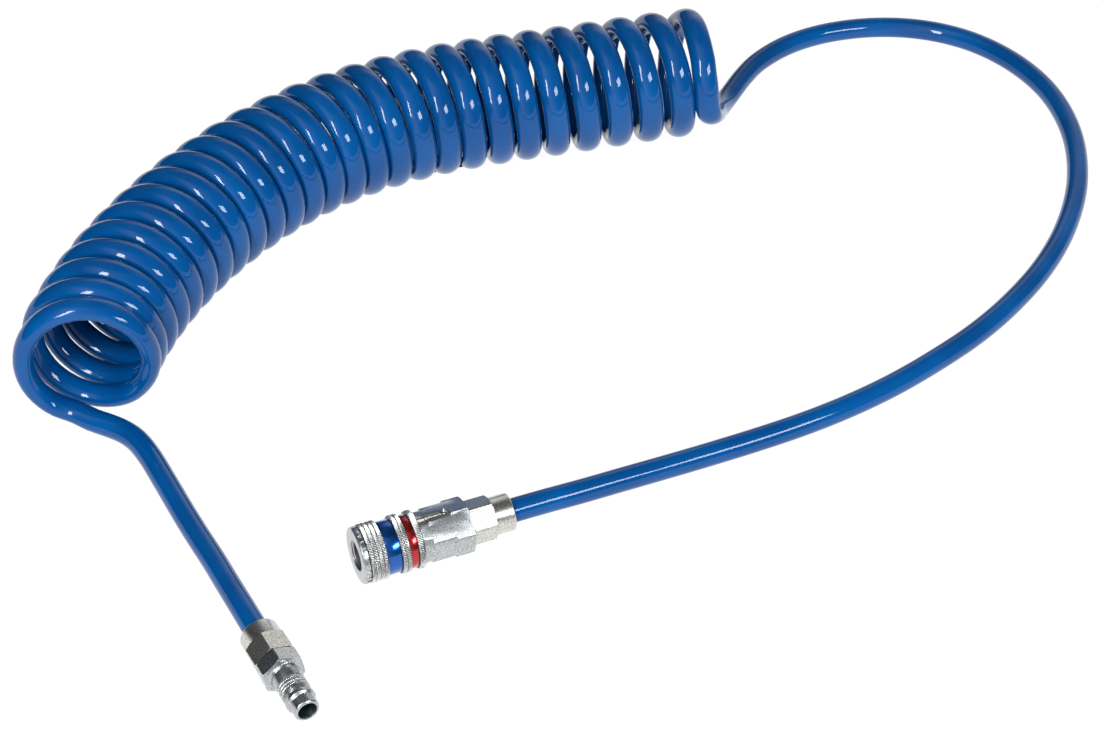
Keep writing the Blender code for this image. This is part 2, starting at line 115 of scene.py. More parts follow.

# %% [markdown]
# ## One line for the whole hose
# A real hose is a single length, so it gets a single centreline: out of the coupler's nut, round the long
# tail, through every turn of the coil, and along the short lead into the plug's nut. The loose stretches
# have no rule, so their points are listed. The coil has one, so a loop works its turns out. One
# smooth curve then goes through all of the points. Making three separate hoses would be simpler, but their
# joints would show as kinks.

# %% A smooth curve through points
def smooth_route(points, per_span=6):
    """A Catmull-Rom curve, timed by the square root of the distances, so it doesn't overshoot."""
    points = [Vector(p) for p in points]
    points = [points[0] * 2 - points[1]] + points + [points[-1] * 2 - points[-2]]
    line = []
    for p0, p1, p2, p3 in zip(points, points[1:], points[2:], points[3:]):
        t1 = (p1 - p0).length ** 0.5
        t2 = t1 + (p2 - p1).length ** 0.5
        t3 = t2 + (p3 - p2).length ** 0.5
        for k in range(per_span):
            t = t1 + (t2 - t1) * k / per_span
            a1 = p0 * ((t1 - t) / t1) + p1 * (t / t1)
            a2 = p1 * ((t2 - t) / (t2 - t1)) + p2 * ((t - t1) / (t2 - t1))
            a3 = p2 * ((t3 - t) / (t3 - t2)) + p3 * ((t - t2) / (t3 - t2))
            b1 = a1 * ((t2 - t) / t2) + a2 * (t / t2)
            b2 = a2 * ((t3 - t) / (t3 - t1)) + a3 * ((t - t1) / (t3 - t1))
            line.append(b1 * ((t2 - t) / (t2 - t1)) + b2 * ((t - t1) / (t2 - t1)))
    line.append(points[-2])
    return line


def distances(line):
    """How far along the line each of its points is."""
    reached = [0.0]
    for a, b in zip(line, line[1:]):
        reached.append(reached[-1] + (b - a).length)
    return reached


def even_points(line, step):
    """Points at equal distances along a line."""
    reached = distances(line)
    spans = round(reached[-1] / step)
    made = []
    at = 0
    for k in range(spans + 1):
        target = reached[-1] * k / spans
        while at < len(line) - 2 and reached[at + 1] < target:
            at += 1
        share = (target - reached[at]) / (reached[at + 1] - reached[at])
        made.append(line[at].lerp(line[at + 1], share))
    return made


# %% [markdown]
# ## The coil's turns
# A coil hose is wound on a mandrel and set with heat, so all of its turns have the same radius. It has been
# pulled a little at its tail end, where the turns stand further apart. The axis is a gentle bow on the
# table, at the height of the coil's outer radius. Each turn's angle says how far round the axis the hose
# is, and a list of pitches says how far along the axis a turn carries it.

# %% Coil
COIL_MEAN_RADIUS = 31.2          # mm, from the coil's axis to the middle of the hose
COIL_THICKNESS = 5.17            # mm, half the hose's thickness in the coil, away from the axis
COIL_WIDTH = 7.0                 # mm, half its width there, along the axis: winding flattens it a little
COIL_AXIS = [                    # (x, y) in mm, from the tail's end to the lead's
    (315, 298), (297, 306), (272.5, 310.5), (228, 317), (183.5, 324), (139, 328), (94, 325),
    (50.5, 313), (10, 293), (-26.5, 267), (-59, 236), (-86, 200), (-92.5, 181),
]
AXIS_STEP = 1.0                  # mm
PITCHES = [                      # (turn, mm along the axis for a whole turn at this rate)
    (-0.29, 48), (0, 18.9), (3, 18.2), (6, 16.4), (20, 16.4), (25.4, 16.2), (26.4, 11.5),
]
FIRST_TURN_AT = 10.1             # mm along the axis
STEPS_PER_TURN = 24


def pitch_at(turn):
    """The pitch at a turn, between the two listed ones around it."""
    for (a, low), (b, high) in zip(PITCHES, PITCHES[1:]):
        if turn <= b:
            return low + (high - low) * (turn - a) / (b - a)
    return PITCHES[-1][1]


def coil_points():
    """The hose's centre for each step of each turn, and the direction of the coil's axis there."""
    axis = even_points(smooth_route([(x, y, 0) for x, y in COIL_AXIS]), AXIS_STEP)
    reached = distances(axis)
    first, last = PITCHES[0][0], PITCHES[-1][0]
    steps = round((last - first) * STEPS_PER_TURN)
    along = FIRST_TURN_AT
    made = []
    for k in range(steps + 1):
        turn = first + (last - first) * k / steps
        i = min(range(len(axis)), key=lambda n: abs(reached[n] - along))
        i = max(1, min(len(axis) - 2, i))
        forward = (axis[i + 1] - axis[i - 1]).normalized()
        middle = axis[i] + forward * (along - reached[i])
        away = Vector((forward.y, -forward.x, 0))
        angle = 2 * pi * turn
        height = COIL_MEAN_RADIUS + COIL_THICKNESS + COIL_MEAN_RADIUS * cos(angle)
        point = middle + away * (COIL_MEAN_RADIUS * sin(angle)) + Vector((0, 0, height))
        made.append((point, forward))
        along += pitch_at(turn) * (last - first) / steps
    return made


turns = coil_points()
coil_across = round(2 * (COIL_MEAN_RADIUS + COIL_THICKNESS))
print("coil:", round((len(turns) - 1) / STEPS_PER_TURN, 1), "turns,", coil_across, "mm across")

# %% [markdown]
# ## The loose stretches
# The tail leaves the coupler level with the coupler's axis, 14 mm above the table, sinks on to the table
# within 120 mm, and comes round in one wide bow to the first turn. The lead does the same from the plug's
# nut. The points are the CAD routes' own, up to a last bend into the coil, and the hose's ends lie inside
# the nuts. A simulated rope would also sink on to the table, but a hose keeps the bends it was packed with,
# so the route is drawn.

# %% Loose routes
TAIL_ROUTE = [                   # mm, from the coupler to the coil
    (67, 33, 14.25), (90, 33, 14.1), (108, 33.3, 13.3), (132, 35.4, 11), (158, 37.7, 8.4), (184, 39.6, 6.5),
    (209, 40.5, 6.1), (235, 42, 6), (262, 45.2, 6), (290, 50.7, 6), (319, 59, 6), (349, 69.7, 6),
    (379, 84.2, 6), (411, 104.4, 6), (442, 131.2, 6), (470.5, 166, 6), (491.5, 207, 6), (500.4, 248.3, 6),
    (496.6, 284.3, 6), (483.6, 313.3, 6), (463, 334.3, 6), (437, 347.3, 6), (407.5, 352.5, 6),
    (382, 350, 6), (357.5, 340.4, 6), (341.3, 329, 6), (331, 320, 6), (320.2, 310, 6.6),
    (310.5, 298.5, 11), (302, 286.5, 18),
]
LEAD_ROUTE = [                   # mm, from the plug to the coil
    (-61.7, 1.3, 10.85), (-62.9, 13, 10.7), (-63.9, 27, 10), (-65, 45, 8.2), (-66.2, 64, 6.8),
    (-68.3, 85, 6.1), (-70, 104, 6), (-71.6, 125, 6), (-73.7, 148, 6), (-76.4, 161, 6), (-80.6, 169.6, 6),
    (-86, 176.5, 6), (-92.4, 183.4, 6.3), (-98.6, 190.6, 7.8),
]
RING_STEP = 4.0                  # mm between the rings of the hose's skin

hose_points = TAIL_ROUTE + [point for point, _ in turns] + LEAD_ROUTE[::-1]
centreline = even_points(smooth_route(hose_points), RING_STEP)

# %% [markdown]
# ## The hose's skin
# A curve with a bevel would give a round tube at once. But winding flattens the hose a little, which shows
# in the coil's outline, so each ring is drawn here: round on the loose stretches and slightly oval in the
# coil. Every ring needs a direction for its wide side. In the coil that is the coil's axis, and on the
# loose stretches the nearest turn's direction is carried along the hose, both ways, so the skin doesn't
# twist.

# %% Hose mesh
HOSE_RADIUS = 6.0                # mm
RING_SIDES = 24
OVAL_FADES_OVER = 30.0           # mm of hose before and after the coil


def skin(shape, rings, closed=True):
    """Faces between rings of the same number of points. Closed means from the last ring to the first too."""
    pairs = list(zip(rings, rings[1:]))
    if closed:
        pairs.append((rings[-1], rings[0]))
    for a, b in pairs:
        for i in range(len(a)):
            j = (i + 1) % len(a)
            shape.faces.new((a[i], a[j], b[j], b[i]))


def finished_mesh(name, shape):
    """Turns the shape that was built into a mesh with smooth shading, its faces all looking outwards."""
    bmesh.ops.recalc_face_normals(shape, faces=shape.faces)
    mesh = bpy.data.meshes.new(name)
    shape.to_mesh(mesh)
    shape.free()
    mesh.shade_smooth()
    return mesh


def nearest_step(points, target):
    """The number of the point that lies nearest to a place."""
    return min(range(len(points)), key=lambda i: (points[i] - target).length)


def across(direction, along):
    """The part of a direction that is square to the hose."""
    return (direction - along * direction.dot(along)).normalized()


def wide_directions(directions, first, last):
    """For each point of the line, the direction of the section's wide side."""
    count = len(directions)
    wide = [None] * count
    for i in range(first, last + 1):
        share = (i - first) / (last - first)
        wide[i] = across(turns[round(share * (len(turns) - 1))][1], directions[i])
    for i in reversed(range(first)):
        wide[i] = across(wide[i + 1], directions[i])
    for i in range(last + 1, count):
        wide[i] = across(wide[i - 1], directions[i])
    return wide


def hose_mesh(name, line):
    """A ring of points for each point of the line, joined into one skin with a cap at each end."""
    first = nearest_step(line, turns[0][0])
    last = nearest_step(line, turns[-1][0])
    after = line[1:] + line[-1:]
    before = line[:1] + line[:-1]
    directions = [(b - a).normalized() for a, b in zip(before, after)]
    sides = wide_directions(directions, first, last)
    fade = OVAL_FADES_OVER / RING_STEP
    shape = bmesh.new()
    rings = []
    for i, (centre, along, side) in enumerate(zip(line, directions, sides)):
        up = along.cross(side)
        oval = max(0.0, min(1.0, (i - first + fade) / fade, (last - i + fade) / fade))
        width = HOSE_RADIUS + (COIL_WIDTH - HOSE_RADIUS) * oval
        thick = HOSE_RADIUS + (COIL_THICKNESS - HOSE_RADIUS) * oval
        ring = []
        for k in range(RING_SIDES):
            angle = 2 * pi * k / RING_SIDES
            point = centre + side * (width * cos(angle)) + up * (thick * sin(angle))
            ring.append(shape.verts.new(point * MM))
        rings.append(ring)
    skin(shape, rings, closed=False)
    shape.faces.new(rings[0])
    shape.faces.new(rings[-1])
    return finished_mesh(name, shape)


hose = bpy.data.objects.new("hose", hose_mesh("hose", centreline))
bpy.context.scene.collection.objects.link(hose)
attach(hose, "hose_and_fittings")
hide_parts("hose_tail", "hose_coil", "hose_lead")
print("hose faces:", len(hose.data.polygons))

# %% [markdown]
# ## Materials from nodes
# Every finish here is a Principled shader with a few nodes in front of it. Small helpers keep that short:
# they start a material, add a node, join two sockets, and make grain, which is noise of a size in
# millimetres. Others turn that grain into colours, into a spread of values, or into a bump. Image textures
# would need files, and grain made from coordinates has the same scale on every piece.

# %% Material helpers
def new_material(name, colour, metallic, roughness):
    """Starts a material, and gives it back with its shader."""
    made = bpy.data.materials.new(name)
    made.use_nodes = True
    shader = made.node_tree.nodes["Principled BSDF"]
    shader.inputs["Base Color"].default_value = (*colour, 1)
    shader.inputs["Metallic"].default_value = metallic
    shader.inputs["Roughness"].default_value = roughness
    made.diffuse_color = (*colour, 1)
    return made, shader


def node(material, kind, **inputs):
    """Adds a node, and sets its inputs by name, with spaces written as underscores."""
    made = material.node_tree.nodes.new(kind)
    for key, value in inputs.items():
        made.inputs[key.replace("_", " ")].default_value = value
    return made


def join(material, out, into):
    """Links one node's output to another one's input."""
    material.node_tree.links.new(out, into)


def place(material):
    """The point's place on its piece, in metres."""
    return node(material, "ShaderNodeTexCoord").outputs["Object"]


def grain(material, grain_size, detail=2.0, stretch=(1, 1, 1)):
    """Noise whose grains are about grain_size millimetres across."""
    mapping = node(material, "ShaderNodeMapping", Scale=stretch)
    join(material, place(material), mapping.inputs["Vector"])
    noise = node(material, "ShaderNodeTexNoise", Scale=1 / (grain_size * MM), Detail=detail)
    join(material, mapping.outputs["Vector"], noise.inputs["Vector"])
    return noise.outputs["Fac"]


def ramp(material, value, stops):
    """Turns a value into a colour, between (position, colour) stops."""
    made = node(material, "ShaderNodeValToRGB")
    elements = made.color_ramp.elements
    while len(elements) < len(stops):
        elements.new(0.5)
    for element, (position, colour) in zip(elements, stops):
        element.position = position
        element.color = (*colour, 1)
    join(material, value, made.inputs["Fac"])
    return made.outputs["Color"]


def bump(material, shader, value, height):
    """Lets a value raise the surface by up to height millimetres."""
    made = node(material, "ShaderNodeBump", Strength=1.0, Distance=height * MM)
    join(material, value, made.inputs["Height"])
    join(material, made.outputs["Normal"], shader.inputs["Normal"])


def span(material, value, low, high):
    """A value between 0 and 1, spread from low to high."""
    made = node(material, "ShaderNodeMapRange", To_Min=low, To_Max=high)
    join(material, value, made.inputs["Value"])
    return made.outputs["Result"]


# %% [markdown]
# ## Blue polyurethane
# The hose is extruded, so its skin is as smooth as glass and it shines like wet paint. The pigment is even,
# but the wall is slightly see-through and its thickness wanders, so the blue drifts a little over some
# centimetres. The extruder also leaves the faintest waves, which make the highlights tremble. A second,
# clear layer over the blue could carry the shine, but the blue itself is the glossy skin, so one smooth
# layer does both. Its reflection is a little weaker than usual, or a bright room would wash the blue out.

# %% Hose finish
FIRST_BLUE = (0.0, 0.05, 0.18)   # what a viewport shows
DEEP_BLUE, PALE_BLUE = (0.0, 0.058, 0.220), (0.0, 0.074, 0.268)
HOSE_ROUGHNESS, HOSE_REFLECTION = 0.06, 0.32
DRIFT_SIZE = 28.0                # mm, how far the blue takes to change
WAVE_SIZE, WAVE_HEIGHT = 9.0, 0.025      # mm


def blue_polyurethane():
    """A smooth, glossy blue that drifts between two close shades."""
    made, shader = new_material("blue_polyurethane", FIRST_BLUE, 0.0, HOSE_ROUGHNESS)
    shader.inputs["Specular IOR Level"].default_value = HOSE_REFLECTION
    drift = grain(made, DRIFT_SIZE, 1.0)
    join(made, ramp(made, drift, [(0.35, DEEP_BLUE), (0.65, PALE_BLUE)]), shader.inputs["Base Color"])
    bump(made, shader, grain(made, WAVE_SIZE, 1.0), WAVE_HEIGHT)
    return made


hose.data.materials.append(blue_polyurethane())
print("hose finish:", hose.data.materials[0].name)

# %% [markdown]
# ## Turned pieces
# Nearly every fitting comes off a lathe, so one helper makes them all: an outline of (along, radius)
# corners in millimetres goes round the axis. A lathe never leaves a perfectly sharp corner, and a sharp one
# wouldn't catch the light, so a second helper rounds each corner first. The outline has to close on itself,
# because every piece is a solid with an inside wall as well as an outside one.

# %% Turning helpers
COUPLER_MOUTH = Vector((-5.8, 33.0, 14.25))
NIPPLE_HEEL = Vector((-62.25, 6.5, 10.85))
NIPPLE_HEADING = -84.26          # degrees, which way the plug points on the table
COUPLER_PLACE = Matrix.Translation(COUPLER_MOUTH * MM)
NIPPLE_PLACE = Matrix.Translation(NIPPLE_HEEL * MM) @ Matrix.Rotation(radians(NIPPLE_HEADING), 4, "Z")
ROUND_SIDES = 96
BREAK = 0.18                     # mm, how much of a sharp corner is taken off
FINE_BREAK, FINER_BREAK = 0.15, 0.12
MOST_OF_SIDE = 0.4               # the largest share of a side that a corner may take
ROUNDNESS = 0.6                  # 1 cuts the corner straight off, 0 leaves it sharp
STRAIGHT = -0.985                # the cosine at which a corner counts as no corner
NO_LENGTH = 1e-6
SHARP_EDGE = 28                  # degrees between two faces that still shade as one


def eased(outline, size=BREAK):
    """Cuts each corner of a closed outline back, in two small steps, so that it catches the light."""
    made = []
    count = len(outline)
    for i in range(count):
        before, here, after = (Vector(outline[(i + k) % count]) for k in (-1, 0, 1))
        back, on = before - here, after - here
        doubled = back.length < NO_LENGTH or on.length < NO_LENGTH
        if doubled or back.normalized().dot(on.normalized()) < STRAIGHT:
            made.append(tuple(here))
            continue
        a = here + back.normalized() * min(size, back.length * MOST_OF_SIDE)
        b = here + on.normalized() * min(size, on.length * MOST_OF_SIDE)
        made += [tuple(a), tuple((a + b) * 0.5 * ROUNDNESS + here * (1 - ROUNDNESS)), tuple(b)]
    return made


def ring_of(shape, along, radius):
    """A round ring of points about the X axis."""
    angles = [2 * pi * i / ROUND_SIDES for i in range(ROUND_SIDES)]
    return [shape.verts.new((along * MM, radius * sin(a) * MM, radius * cos(a) * MM)) for a in angles]


def edged_mesh(name, shape, sharp=SHARP_EDGE):
    """A finished mesh whose edges sharper than so many degrees stay sharp."""
    mesh = finished_mesh(name, shape)
    mesh.set_sharp_from_angle(angle=radians(sharp))
    return mesh


def add_piece(name, mesh, place_of, body, node_names, finish):
    """Puts a new piece in place, lets it ride on its body and stand for its CAD nodes."""
    piece = bpy.data.objects.new(name, mesh)
    bpy.context.scene.collection.objects.link(piece)
    piece.matrix_world = place_of
    piece.data.materials.append(finish)
    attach(piece, body)
    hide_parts(*node_names)
    return piece


def turned_mesh(name, outline, size=BREAK):
    """The outline's corners, eased and turned round the X axis into a ring-shaped solid."""
    shape = bmesh.new()
    skin(shape, [ring_of(shape, along, radius) for along, radius in eased(outline, size)])
    return edged_mesh(name, shape)


# %% [markdown]
# ## Hexagons and slots
# A hexagon nut starts as a turned blank too, with its corners chamfered on the lathe, and then six flats
# are cut. So the blank is cut to a hexagonal bar by a Boolean, and the curved edges of the chamfer come out
# by themselves. The bar's six edges are slightly blunt, as drawn bar is. The cutters are removed once the
# result is kept.

# %% Cutting helpers
BLUNT = 0.35                     # mm, half the width of a blunt corner of the bar
BLUNT_DEPTH = 0.29               # how far that corner is cut back, as a share of BLUNT
CORNER_DIP = 0.04                # mm, how much further its middle is cut back


def hexagon(flats, turn):
    """The bar's outline as (y, z), with a corner turned from +Z towards -Y. Each corner has three points."""
    reach = flats / sqrt(3)
    made = []
    for i in range(6):
        corner = radians(turn + 60 * i)
        for swing in (-1, 0, 1):
            angle = corner + swing * BLUNT / reach
            length = reach - (0.0 if swing else CORNER_DIP) - BLUNT * BLUNT_DEPTH
            made.append((-length * sin(angle), length * cos(angle)))
    return made


def prism(name, outline, low, high, upright=False):
    """A flat outline in millimetres, extruded along X, or along Z if upright."""
    shape = bmesh.new()
    ends = []
    for level in (low, high):
        points = [(a, b, level) if upright else (level, a, b) for a, b in outline]
        ends.append([shape.verts.new(Vector(p) * MM) for p in points])
    skin(shape, ends, closed=False)
    shape.faces.new(ends[0])
    shape.faces.new(ends[1])
    return edged_mesh(name, shape)


def carve(mesh, tools):
    """Applies Booleans one after another, (operation, tool mesh), and gives back the finished mesh."""
    blank = bpy.data.objects.new("blank", mesh)
    bpy.context.scene.collection.objects.link(blank)
    cutters = []
    for operation, tool in tools:
        cutter = bpy.data.objects.new("cutter", tool)
        bpy.context.scene.collection.objects.link(cutter)
        step = blank.modifiers.new("cut", "BOOLEAN")
        step.operation = operation
        step.solver = "EXACT"
        step.object = cutter
        cutters.append(cutter)
    bpy.context.view_layer.update()
    carved = bpy.data.meshes.new_from_object(blank.evaluated_get(bpy.context.evaluated_depsgraph_get()))
    for used in (blank, *cutters):
        bpy.data.objects.remove(used)
    carved.name = mesh.name
    carved.materials.clear()
    carved.shade_smooth()
    carved.set_sharp_from_angle(angle=radians(SHARP_EDGE))
    return carved


# %% [markdown]
# ## Nickel plate
# The fittings are steel, machined from bar and nickel plated. The plate is bright but thin, so it follows
# the steel's own grain: a fine speckle about half a millimetre across, darker in the hollows and brighter
# on top. A polished metal with no grain would mirror the lamps like chrome, and the flats would look empty.
# The fine grain drives the colour and a very low bump together, and a coarser one lets the roughness
# wander.

# %% Plated finish
SPECKLE_SIZE, PATCH_SIZE = 0.42, 1.6     # mm
GLINT = 1.2                      # how much brighter than the plate its brightest specks are
SMOOTHEST, ROUGHEST = 0.93, 1.1  # shares of the plate's roughness


def plated_steel(name, dark, bright, roughness, height):
    """Metal with a fine speckle, from dark to a little more than bright. The height of its bump is in mm."""
    made, shader = new_material(name, bright, 1.0, roughness)
    fine = grain(made, SPECKLE_SIZE, 3.0)
    glint = tuple(min(1, c * GLINT) for c in bright)
    join(made, ramp(made, fine, [(0.40, dark), (0.50, bright), (0.60, glint)]), shader.inputs["Base Color"])
    patches = span(made, grain(made, PATCH_SIZE, 2.0), roughness * SMOOTHEST, roughness * ROUGHEST)
    join(made, patches, shader.inputs["Roughness"])
    bump(made, shader, fine, height)
    return made


PLATE_ROUGHNESS, PLATE_BUMP = 0.28, 0.026
DARK_NICKEL, BRIGHT_NICKEL = (0.20, 0.22, 0.235), (0.52, 0.54, 0.55)
nickel = plated_steel("nickel_plate", DARK_NICKEL, BRIGHT_NICKEL, PLATE_ROUGHNESS, PLATE_BUMP)
print("plate:", nickel.name)

# %% [markdown]
# ## The release sleeve
# The sleeve is pulled back by hand, so it is knurled for grip: four rope-like rings at the front, two in
# the middle and one at the rear, with the two coloured bands between them. A bump could fake the knurl, but
# its teeth stand out at the sleeve's edge and throw small shadows, so they are real here. Each ring is a
# rounded hump, and its teeth are a wave that winds round it at a slant. Its finish is darker towards the
# valleys, which is painted shade: it measures how far a point is from the axis.

# %% Knurled finish
# Painted shade: how dark the knurl's finish gets at the bottom of its valleys.
PAINTED_VALLEY_SHADE = 0.06              # the share of the plate's colour left at the bottom of a valley
WORN_DARK, WORN_BRIGHT = (0.34, 0.35, 0.36), (0.90, 0.90, 0.89)
WORN_ROUGHNESS, WORN_BUMP = 0.29, 0.02


def knurl_finish(name, valley, crest):
    """Plate with painted shade, darker from the crests' radius down to the valleys'. The axis is the piece's
    own X.
    """
    made = plated_steel(name, WORN_DARK, WORN_BRIGHT, WORN_ROUGHNESS, WORN_BUMP)
    shader = made.node_tree.nodes["Principled BSDF"]
    off_axis = node(made, "ShaderNodeMapping", Scale=(0, 1, 1))
    join(made, place(made), off_axis.inputs["Vector"])
    radius = node(made, "ShaderNodeVectorMath")
    radius.operation = "LENGTH"
    join(made, off_axis.outputs["Vector"], radius.inputs[0])
    depth = node(made, "ShaderNodeMapRange", From_Min=valley * MM, From_Max=crest * MM,
                 To_Min=PAINTED_VALLEY_SHADE, To_Max=1.0)
    join(made, radius.outputs["Value"], depth.inputs["Value"])
    # The painted shade scales the plate's colour down towards the valleys.
    shaded = node(made, "ShaderNodeVectorMath")
    shaded.operation = "SCALE"
    join(made, shader.inputs["Base Color"].links[0].from_socket, shaded.inputs[0])
    join(made, depth.outputs["Result"], shaded.inputs["Scale"])
    join(made, shaded.outputs["Vector"], shader.inputs["Base Color"])
    return made


# The sleeve's painted shade fades out between these two radii.
KNURL_VALLEY, KNURL_CREST = 13.45, 13.95         # mm from the axis
knurled_nickel = knurl_finish("knurled_nickel", KNURL_VALLEY, KNURL_CREST)
print("knurl finish:", knurled_nickel.name)

# %% Knurled rings
TOOTH_SAMPLES = 6                # points round the ring for each tooth
TOOTH_SLANT = 0.75               # mm that a tooth leans round the ring for each mm along it
RING_ROWS = 8
RING_HUMP = 0.75                 # mm, how far a ring's middle stands out from its edges
VALLEY_NARROWS = 1.5             # 1 makes valleys and crests alike, more makes the valleys narrower
KNURL_SHARP_EDGE = 50            # degrees


def knurled_ring(start, end, radius, depth):
    """Rows of (along, radius of the crests, depth of the teeth) across one rope-like ring."""
    rows = []
    for i in range(RING_ROWS + 1):
        share = i / RING_ROWS
        along = start + (end - start) * share
        hump = sqrt(max(0.0, 1 - (2 * share - 1) ** 4))
        rows.append((along, radius - RING_HUMP + RING_HUMP * hump, depth * hump))
    return rows


def knurled_mesh(name, rows, teeth, radius):
    """A closed ring of such rows, with its teeth pressed in."""
    sides = teeth * TOOTH_SAMPLES
    shape = bmesh.new()
    rings = []
    for along, plain, depth in rows:
        ring = []
        for i in range(sides):
            angle = 2 * pi * i / sides
            wave = 0.5 - 0.5 * cos(teeth * (angle + TOOTH_SLANT * along / radius))
            reach = plain - depth * (1 - wave) ** VALLEY_NARROWS
            ring.append(shape.verts.new(Vector((along, reach * sin(angle), reach * cos(angle))) * MM))
        rings.append(ring)
    skin(shape, rings)
    return edged_mesh(name, shape, KNURL_SHARP_EDGE)


def smooth_rows(outline):
    """Rows with no teeth, from the corners of a plain outline."""
    return [(along, radius, 0.0) for along, radius in outline]


# %% [markdown]
# ## The sleeve from front to rear
# The sleeve is one turned piece, so its rows are listed in one round trip: the knurled rings and the two
# grooves along the outside, then back through the bore, with a step for its spring and a slope that frees
# the balls. Rings and a plain tube as separate pieces would be quicker to write, but they would leave
# seams.

# %% Knurled sleeve
KNURL_RADIUS = 14.25
TEETH, TOOTH_DEPTH = 70, 0.75
SLEEVE_START, SLEEVE_END = 3.35, 30.3
BLUE_GROOVE = (12.0, 18.8)
RED_GROOVE = (23.3, 27.1)
GROOVE_FLOOR = 12.4
FRONT_RINGS = 4
SLEEVE_INSIDE = [                # (along, radius), from the rear to the front
    (SLEEVE_END, 12.75), (27.3, 12.75), (27.3, 11.6), (12.6, 11.6), (12.6, 9.6), (9.97, 9.6),
    (SLEEVE_START, 11.98),
]


def sleeve_ring(start, end):
    """One of the sleeve's own rope-like rings."""
    return knurled_ring(start, end, KNURL_RADIUS, TOOTH_DEPTH)


def groove_rows(groove):
    """The floor of a band's groove."""
    return smooth_rows([(end, GROOVE_FLOOR) for end in groove])


sleeve_rows = []
ring_width = (BLUE_GROOVE[0] - SLEEVE_START) / FRONT_RINGS
for i in range(FRONT_RINGS):
    sleeve_rows += sleeve_ring(SLEEVE_START + i * ring_width, SLEEVE_START + (i + 1) * ring_width)
middle = (BLUE_GROOVE[1] + RED_GROOVE[0]) / 2
sleeve_rows += groove_rows(BLUE_GROOVE)
sleeve_rows += sleeve_ring(BLUE_GROOVE[1], middle) + sleeve_ring(middle, RED_GROOVE[0])
sleeve_rows += groove_rows(RED_GROOVE)
sleeve_rows += sleeve_ring(RED_GROOVE[1], SLEEVE_END) + smooth_rows(SLEEVE_INSIDE)
sleeve = add_piece("knurled_sleeve", knurled_mesh("knurled_sleeve", sleeve_rows, TEETH, KNURL_RADIUS),
                   COUPLER_PLACE, "sleeve", ["release_sleeve"], knurled_nickel)
print("sleeve faces:", len(sleeve.data.polygons))

# %% [markdown]
# ## The two bands
# A blue band and a red band snap into the sleeve's grooves. They are thin aluminium rings, dyed and
# anodised: the colour sits in a clear oxide over bright metal, so it is a coloured mirror and not a paint.
# A metallic shader with a saturated colour and a clear coat gives that, and a faint brushing round the ring
# widens its highlight.

# %% Anodised bands
BAND_GAP = 0.15                  # mm between a band and each side of its groove
BAND_INSIDE, BAND_OUTSIDE = 12.6, 13.1
BRUSH_WIDTH, BRUSH_HEIGHT = 0.25, 0.008
BRUSH_STRETCH = (1.0, 0.06, 0.06)        # narrow along the axis, long round it


def anodised(name, colour, deep):
    """Dyed metal, brushed round the ring, under a clear coat."""
    made, shader = new_material(name, colour, 0.9, 0.2)
    brushed = grain(made, BRUSH_WIDTH, 2.0, BRUSH_STRETCH)
    join(made, ramp(made, brushed, [(0.3, deep), (0.7, colour)]), shader.inputs["Base Color"])
    shader.inputs["Coat Weight"].default_value = 0.7
    shader.inputs["Coat Roughness"].default_value = 0.06
    bump(made, shader, brushed, BRUSH_HEIGHT)
    return made


def add_band(name, groove, node_name, finish):
    """A thin ring that fills its groove nearly from side to side."""
    start, end = groove[0] + BAND_GAP, groove[1] - BAND_GAP
    outline = [(start, BAND_INSIDE), (start, BAND_OUTSIDE), (end, BAND_OUTSIDE), (end, BAND_INSIDE)]
    add_piece(name, turned_mesh(name, outline), COUPLER_PLACE, "sleeve", [node_name], finish)


add_band("blue_grip_band", BLUE_GROOVE, "blue_band",
         anodised("blue_anodised", (0.0, 0.11, 0.46), (0.0, 0.07, 0.34)))
add_band("red_grip_band", RED_GROOVE, "red_band",
         anodised("red_anodised", (0.52, 0.02, 0.025), (0.36, 0.01, 0.012)))
print("bands ride on the sleeve")

# %% [markdown]
# ## The nose ring
# The ring at the mouth is pressed on to the socket tube. Its rim has a row of square notches, which give
# the thumb a stop. They could be modelled tooth by tooth. But the real ones are milled into a plain ring,
# so they are cut here too, with one Boolean: all of the small blocks are one tool.

# %% Nose ring
NOTCHES = 24
NOTCH_MIDDLE = Vector((2.5, 0, 14.6))    # the block's middle, before it is turned into place
NOTCH_SIZE = Vector((3.0, 1.6, 3.2))
NOSE_OUTLINE = [                 # (along, radius)
    (0.0, 8.0), (0.0, 13.3), (0.5, 13.9), (3.0, 13.9), (3.0, 9.6), (0.7, 9.6), (0.7, 7.5), (0.4, 7.5),
]


def notch_blocks():
    """One mesh that holds every block, spaced round the ring."""
    shape = bmesh.new()
    block = Matrix.Translation(NOTCH_MIDDLE * MM)
    size = Matrix.Diagonal((*(NOTCH_SIZE * MM), 1))
    for i in range(NOTCHES):
        angle = 2 * pi * (i + 0.5) / NOTCHES
        turn = Matrix.Rotation(-angle, 4, "X")
        bmesh.ops.create_cube(shape, size=1.0, matrix=turn @ block @ size)
    mesh = bpy.data.meshes.new("notches")
    shape.to_mesh(mesh)
    shape.free()
    return mesh


ring_mesh = carve(turned_mesh("notched_nose_ring", NOSE_OUTLINE), [("DIFFERENCE", notch_blocks())])
add_piece("notched_nose_ring", ring_mesh, COUPLER_PLACE, "hose_and_fittings", ["nose_ring"],
          nickel)
print("nose ring:", NOTCHES, "notches")

# %% [markdown]
# ## The coupler's body
# The body is 24 mm hexagon bar. Towards the sleeve it is turned down in two steps, so that only the corners
# of the hexagon are rounded off there, and the flats run on. A vent window on top shows the inner tube. It
# is milled in two widths, and its narrow end is round. A six-sided cylinder with a bevel would be quick,
# but only a turned blank cut to a bar gives the curved lines where the flats meet the chamfer.

